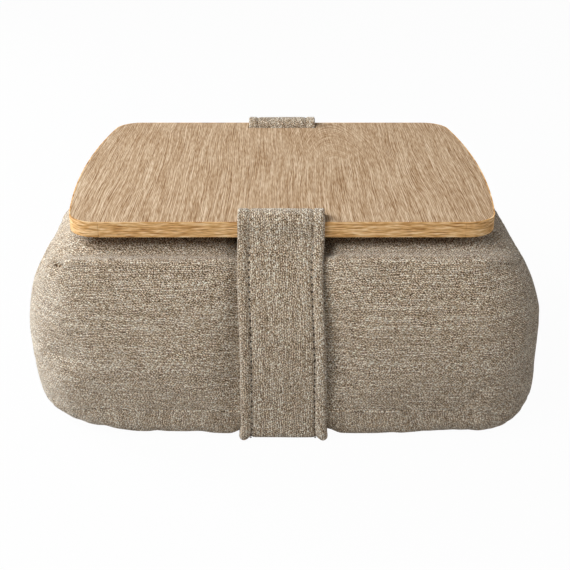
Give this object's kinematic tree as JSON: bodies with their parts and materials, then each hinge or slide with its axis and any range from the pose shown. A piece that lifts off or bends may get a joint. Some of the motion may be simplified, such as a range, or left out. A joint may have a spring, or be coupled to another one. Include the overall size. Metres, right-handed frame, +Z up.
{
  "type": "cushioned lap desk",
  "caption": "Lap desk: an oak-veneered tray with bowed ends, held onto a stuffed tweed box cushion by a wide fabric strap; the cushion's cover opens with a zip.",
  "frame": {"origin": "on the floor, under the middle of the desk", "axes": "+X along the tray towards the zip's end, +Y away from the user, +Z up"},
  "size_m": [0.452, 0.3454, 0.2018],
  "materials": {
    "oak_veneer": "matt lacquered pale oak veneer, grain from front to back",
    "oak_edge": "satin golden oak edge band, grain along the edge",
    "board_core": "raw fibreboard",
    "tweed": "heathered taupe and cream tweed with long slubs",
    "closure_tape": "napped hook and loop tape",
    "bag_cloth": "plain thin lining cloth",
    "fibre_filling": "loose fibre",
    "zip_tape": "plain woven tape",
    "zip_plastic": "moulded",
    "zip_metal": "satin painted die casting"
  },
  "bodies": {
    "desk": {"tray_core": "board_core", "tray_top_veneer": "oak_veneer", "tray_bottom_veneer": "oak_veneer", "edge_band_front": "oak_edge", "edge_band_rear": "oak_edge", "edge_band_left": "oak_edge", "edge_band_right": "oak_edge", "strap": "tweed", "strap_hook_tape": "closure_tape", "strap_loop_tape": "closure_tape", "cover_top_panel": "tweed", "cover_boxing": "tweed", "cover_end_upper": "tweed", "cover_end_lower": "tweed", "cover_bottom_panel": "tweed", "inner_bag_upper": "bag_cloth", "inner_bag_lower": "bag_cloth", "filling": "fibre_filling", "zip_tape_upper": "zip_tape", "zip_tape_lower": "zip_tape", "zip_teeth_upper": "zip_plastic", "zip_teeth_lower": "zip_plastic", "zip_top_stop_upper": "zip_plastic", "zip_top_stop_lower": "zip_plastic", "zip_bottom_stop": "zip_plastic"},
    "zip_slider": {"zip_slider": "zip_metal"},
    "zip_pull": {"zip_pull": "zip_metal"}
  },
  "joints": [
    {"name": "zip_slide", "type": "slide", "parent": "desk", "child": "zip_slider", "axis": [0, -1, 0], "range_m": [0, 0.168], "deforming": ["zip_teeth_upper", "zip_teeth_lower"]},
    {"name": "zip_pull_hinge", "type": "hinge", "parent": "zip_slider", "child": "zip_pull", "pos_m": [0.2238, 0.087, 0.072], "axis": [0, 0, 1], "range_deg": [0, 175]}
  ]
}
